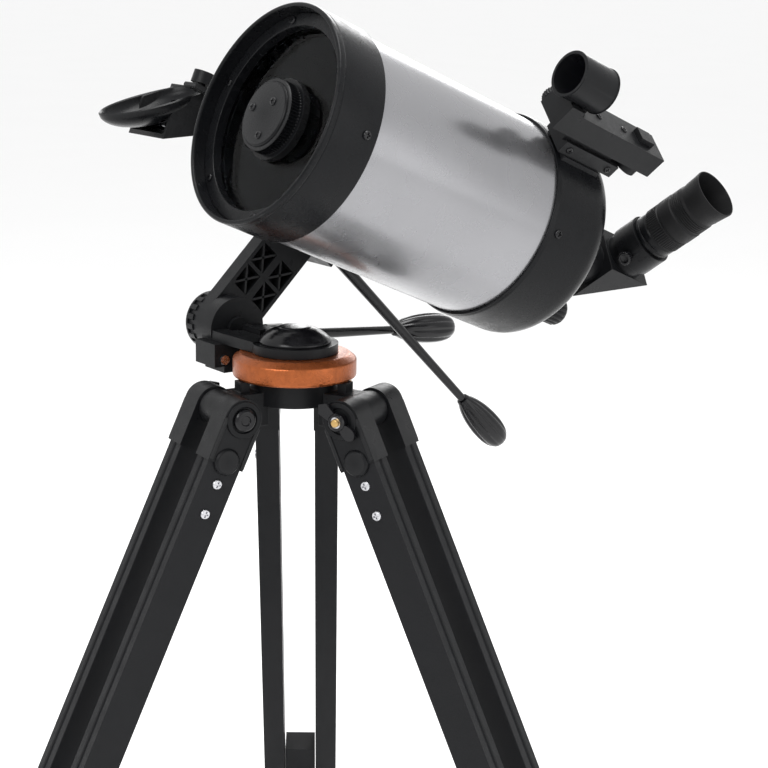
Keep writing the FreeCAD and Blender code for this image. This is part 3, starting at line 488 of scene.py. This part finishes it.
def control_rod(name, body, home, length, worm_radius, worm_length):
    """A tapered rod with its fluted pear-shaped grip, and the worm inside the housing."""
    grip_length = 58.0

    def flutes(radius, height, angle):
        share = (height - length) / grip_length
        if share < 0.05 or radius < 2:
            return radius
        deep = 0.11 * math.sin(math.pi * min(1.0, max(0.0, share * 0.97)))
        return radius * (1 - deep * (0.5 + 0.5 * math.cos(9 * angle)) ** 3)
    rod = Shape()
    rod.lathe(rounded([(0, 0), (4.6, 0), (4.6, 30), (3.3, length), (3.3, length + 4),
                       (0, length + 4)], 0.3), steps=48, closed=False)
    rod.lathe([(0, 1), (worm_radius, 1), (worm_radius, 1 + worm_length), (0, 1 + worm_length)],
              steps=64, closed=False)
    profile = [(0, 0), (4.6, 0), (5.1, 0.6), (5.4, 2.5), (6.6, 5), (8.2, 9), (9.6, 13.5),
               (10.8, 19), (11.6, 25), (12.1, 31), (12.2, 36), (12.1, 41), (11.6, 46),
               (10.7, 50.5), (9.4, 54), (7.8, 56.6), (6.0, 57.8), (3.0, grip_length),
               (0, grip_length)]
    rod.lathe([(radius, length + height) for radius, height in profile], steps=144, closed=False,
              wave=flutes)
    rod.make(name + "_fluted", home, body, "gloss_black", [body])


# ---------------------------------------------------------------- mount head
def mount_head():
    ring = Shape().lathe(rounded([(5.08, DISC_BOTTOM), (43.0, DISC_BOTTOM), (DISC_RADIUS, -12.4),
                                  (DISC_RADIUS, -0.6), (38.6, DISC_TOP), (5.08, DISC_TOP)], 1.1),
                         steps=ROUND)
    ring.make("orange_disc", HEAD, "tripod", "orange_anodised", ["azimuth_ring"])
    dome = Shape().lathe(rounded([(7, 10.5), (26, 10.5), (26, 12.0), (25.0, 13.6), (23.2, 15.4),
                                  (20, 17.8), (16, 20.0), (12.6, 21.0), (11.8, 21.0), (11.2, 21.8),
                                  (9.4, 22), (0, 22), (0, 19), (7, 19)], 0.5), steps=160,
                         closed=False)
    dome.make("dome_turned", HEAD, "turntable", "gloss_black", ["dome_cap"])


def arm_ribs():
    """Crossed stiffening ribs in the pockets of the arm's inner face."""
    ribs = Shape()
    for low, high in ((26, 44), (47, 65)):
        for side in (-1, 1):
            near, far = sorted((side * 3.0, side * 18.0))
            for first, last in (((near, low), (far, high)), ((near, high), (far, low))):
                start, end = Vector(first), Vector(last)
                along = (end - start).normalized()
                across = Vector((-along.y, along.x)) * 0.8
                corners = [start + across, start - across, end - across, end + across]
                loop = [(point.x, point.y) for point in corners]
                ribs.rings([[(-83.9, y, z) for y, z in loop], [(-75.4, y, z) for y, z in loop]])
    ribs.make("arm_cross_ribs", ARM, "arm", "black_plastic")


def leg_hardware(number, letter):
    """Pivot bolt with its wing nut, the cross-head screws, and the trim moulded on the caps."""
    body = "leg_" + letter
    metal = Shape()
    metal.lathe([(0, -CAP_OUTER), (4.0, -CAP_OUTER), (4.0, CAP_OUTER + 6), (0, CAP_OUTER + 6)],
                at=facing((0, 0, 0), (1, 0, 0)), steps=40, closed=False)
    metal.lathe(rounded([(0, 0), (8.0, 0), (8.0, 2.6), (6.4, 4.0), (3.6, 4.0), (3.2, 2.6),
                         (0, 2.6)], 0.4, False), at=facing((-CAP_OUTER, 0, 0), (-1, 0, 0)),
                steps=48, closed=False, slot=1)
    nut = facing((CAP_OUTER, 0, 0), (1, 0, 0))
    metal.lathe(rounded([(4.0, 0), (6.5, 0), (6.5, 5.4), (5.4, 7.0), (4.0, 7.0)], 0.4), at=nut,
                steps=48, slot=1)
    metal.lathe(rounded([(0, 5), (2.9, 5), (2.9, 7.8), (2.2, 8.4), (0, 8.4)], 0.3, False), at=nut,
                steps=40, closed=False, slot=2)
    for side in (-1, 1):
        wing = rounded([(side * 5.2, -3.6), (side * 14.0, -5.0), (side * 18.0, 0.0),
                        (side * 14.0, 5.0), (side * 5.2, 3.6)], 3.2)
        metal.prism(wing, 2.0, 5.4, at=nut @ turn(28.0), slot=1)
    for side in (-1, 1):
        for height in (-48.0, -70.0):
            cross_screw(metal, 3.6, 1.7, facing((RAIL_OUTER * side, 0, height), (side, 0, 0)))
    metal.make("leg_%s_hardware" % letter, leg_frame(number), body, "steel",
               ["leg_%s_fasteners" % letter], materials=["steel", "gloss_black", "brass"])
    # a pivot boss, a round tab and two raised edges on each cap's outer cheek
    trim = Shape()
    for side in (-1, 1):
        at = facing((CAP_OUTER * side, 0, 0), (side, 0, 0))
        trim.lathe(rounded([(8.6, -0.4), (13.4, -0.4), (12.8, 1.6), (9.4, 1.6)], 0.5), at=at,
                   steps=64)
        tab = facing((RAIL_OUTER * side, 0, -31.0), (side, 0, 0))
        trim.lathe(rounded([(0, -0.4), (9.6, -0.4), (9.6, 1.8), (8.2, 3.6), (0, 3.6)], 0.8, False),
                   at=tab, steps=64, closed=False)
        for edge in (-1, 1):
            trim.block(sorted((side * (CAP_OUTER - 0.5), side * (CAP_OUTER + 1.0))),
                       sorted((edge * 11.4, edge * 14.2)), (-33.0, -2.0), bevel=0.5)
    trim.make("leg_%s_cap_trim" % letter, leg_frame(number), body, "black_plastic")


# ---------------------------------------------------------------- finder and dock
def finder_details():
    window = Shape().lathe([(0, 190.0), (14.1, 190.0), (14.1, 191.4), (0, 191.4)],
                           at=shift(0, 127, 0), steps=96, closed=False)
    window.make("finder_window", FINDER, "tube", "glass", materials=["dark_lens"])
    hood = Shape()
    for level in (166.6, 198.4):
        hood.lathe(rounded([(15.9, level - 0.6), (16.6, level - 0.3), (16.6, level + 0.3),
                            (15.9, level + 0.6)], 0.2), at=shift(0, 127, 0), steps=96)
    hood.make("finder_hood_lips", FINDER, "tube", "satin_black")
    screws = Shape()
    for x, y, z in ((0, 113.0, 184), (0, 109.6, 214), (0, 109.6, 240)):
        cross_screw(screws, 2.6, 1.0, facing((x, y, z), (0, 1, 0)))
    for z in (205, 244):
        cross_screw(screws, 2.6, 1.0, facing((-13.0, 83.0, z), (-1, 0, 0)))
    screws.make("finder_screws", FINDER, "tube", "satin_black", materials=["gloss_black"])

    def notched(radius, height, angle):
        return radius - (0.35 * (1 + math.cos(24 * angle)) if radius > 7 else 0)
    dial = Shape().lathe(rounded([(0, 0), (8.5, 0), (8.5, 4.0), (7.6, 5.0), (0, 5.0)], 0.0, False),
                         at=facing((13.9, 99, 186), (1, 0, 0)), steps=ROUND, closed=False,
                         wave=notched)
    dial.make("finder_dial_notched", FINDER, "finder_dial", "black_plastic", ["finder_dial"])


def dock_hood():
    """The glare hood, a spoon with a full rim and a window to the mirror, and the box behind it."""
    hood = Shape()
    middle, half_long, half_wide, deep, wall = 211.0, 43.0, 29.0, 17.0, 1.7
    long_axis, normal = Vector((0, 0.5835, 0.812)), Vector((0, 0.812, -0.5835))
    centre, wide_axis = Vector((middle, 6.0, 40.0)), Vector((1, 0, 0))
    shares = [0.03, 0.15, 0.3, 0.42, 0.55, 0.68, 0.78, 0.86, 0.92, 0.96, 0.985, 1.0]
    columns = 96

    def spot(share, column, shrink, lift=0.0):
        angle = 2 * math.pi * column / columns
        depth = (deep - shrink) * math.sqrt(max(0.0, 1 - share * share)) - lift
        return (centre + long_axis * ((half_long - shrink) * share * math.cos(angle))
                + wide_axis * ((half_wide - shrink) * share * math.sin(angle)) - normal * depth)

    def kept(row, column):
        """Whether a patch is solid; the others make the window in the bowl's rear half."""
        degrees = min(column, columns - 1 - column) / columns * 360
        return not (0.3 <= shares[row] < 0.86 and degrees < 42)

    verts = [spot(share, column, shrink) for shrink in (0.0, wall) for share in shares
             for column in range(columns)]
    layer = len(shares) * columns
    faces = [list(range(columns))[::-1], [layer + column for column in range(columns)]]
    for row in range(len(shares) - 1):
        for column in range(columns):
            after = (column + 1) % columns
            low, high = row * columns, (row + 1) * columns
            quad = [low + column, low + after, high + after, high + column]
            if kept(row, column):
                faces += [quad, [layer + index for index in quad[::-1]]]
                continue
            sides = ((row - 1, column, 0, 1), (row, after, 1, 2), (row + 1, column, 2, 3),
                     (row, (column - 1) % columns, 3, 0))
            for other_row, other_column, first, last in sides:
                if kept(other_row, other_column):
                    faces.append([quad[first], quad[last], layer + quad[last], layer + quad[first]])
    top = (len(shares) - 1) * columns
    crest = len(verts)
    verts += [spot(1.0, column, wall / 2, 0.9) for column in range(columns)]
    for column in range(columns):
        after = (column + 1) % columns
        faces.append([top + column, top + after, crest + after, crest + column])
        faces.append([crest + column, crest + after, layer + top + after, layer + top + column])
    hood.add(verts, faces)
    side_on = Matrix(((0, 0, 1), (1, 0, 0), (0, 1, 0))).to_4x4()
    cheek = rounded([(-20, 45), (9.6, 45), (25.8, 67.6), (25.8, 108), (6, 100)], 1.5)
    for low in (185.0, 234.0):
        hood.prism(cheek, low, low + 3.0, at=side_on)
    hood.prism([(-20, 45), (-16.4, 45), (8.6, 98.5), (24, 105), (25.8, 105), (25.8, 108), (6, 100)],
               187.9, 234.1, at=side_on)
    hood.block((170, 186), (22, 25.8), (46, 78), bevel=0.8)
    hood.make("dock_hood_spoon", TUBE, "tube", "satin_black", ["mirror_housing"])


dock_hood()
optical_tube()
front_optics()
visual_end()
ROD_SLOPE = math.radians(4.0)
AZ_ALONG = Vector((0, math.cos(ROD_SLOPE), -math.sin(ROD_SLOPE)))
control_rod("azimuth_rod", "azimuth_rod",
            HEAD @ facing(Vector((-84.0, 0, -1.5)) + AZ_ALONG * 18, AZ_ALONG), 133, 6.6, 12)
control_rod("altitude_rod", "altitude_rod",
            ARM @ facing((-67.0, -18, ARM_REACH - 48), (0, 1, 0)), 232, 6.2, 34)
mount_head()
arm_ribs()
for number, letter in enumerate("abc"):
    leg_hardware(number, letter)
finder_details()

# ---------------------------------------------------------------- floor, light and camera
FLOOR_HALF = 60.0
floor_mesh = bpy.data.meshes.new("floor")
floor_mesh.from_pydata([(-FLOOR_HALF, -FLOOR_HALF, 0), (FLOOR_HALF, -FLOOR_HALF, 0),
                        (FLOOR_HALF, FLOOR_HALF, 0), (-FLOOR_HALF, FLOOR_HALF, 0)], [],
                       [(0, 1, 2, 3)])
floor = bpy.data.objects.new("floor", floor_mesh)
bpy.context.scene.collection.objects.link(floor)
floor_mesh.materials.append(material("pale_floor", (0.93, 0.93, 0.93), 0.8, shade=0.005, bump=0.0,
                                     patch=2.0, gloss_swing=0.02))


def lamp(name, at, target, side, power):
    """A rectangular area lamp that faces its target."""
    data = bpy.data.lights.new(name, "AREA")
    data.shape = "RECTANGLE"
    data.size, data.size_y = side
    data.energy = power
    item = bpy.data.objects.new(name, data)
    item.location = at
    item.rotation_euler = (Vector(target) - Vector(at)).to_track_quat("-Z", "Y").to_euler()
    bpy.context.scene.collection.objects.link(item)


TARGET = (0.03, 0.0, 0.72)
lamp("key_light", (0.9, -2.2, 2.3), TARGET, (1.4, 1.4), 34)
lamp("top_light", (0.2, 0.3, 2.8), TARGET, (1.6, 1.0), 40)
lamp("fill_light", (2.3, 0.9, 1.0), TARGET, (1.6, 1.6), 9)
lamp("rim_light", (-1.6, 1.6, 1.6), TARGET, (1.0, 1.4), 18)

world = bpy.data.worlds.new("studio")
bpy.context.scene.world = world
world.use_nodes = True
world.node_tree.nodes["Background"].inputs["Color"].default_value = (1.0, 1.0, 1.0, 1.0)
world.node_tree.nodes["Background"].inputs["Strength"].default_value = 1.0
bpy.context.scene.view_settings.view_transform = "Standard"

LENS, SENSOR = 89.1, 36.0
CAMERA_AT = (1.0970, -0.7384, 0.9423)
FORWARD = Vector((-0.7802, 0.5818, -0.2297))
ROLL = math.radians(0.91)
camera_data = bpy.data.cameras.new("camera")
camera_data.lens = LENS
camera_data.sensor_width = SENSOR
camera_data.clip_end = 200.0
camera = bpy.data.objects.new("camera", camera_data)
bpy.context.scene.collection.objects.link(camera)
aim = FORWARD.to_track_quat("-Z", "Y").to_matrix().to_4x4() @ Matrix.Rotation(ROLL, 4, "Z")
camera.matrix_world = Matrix.Translation(CAMERA_AT) @ aim
bpy.context.scene.camera = camera
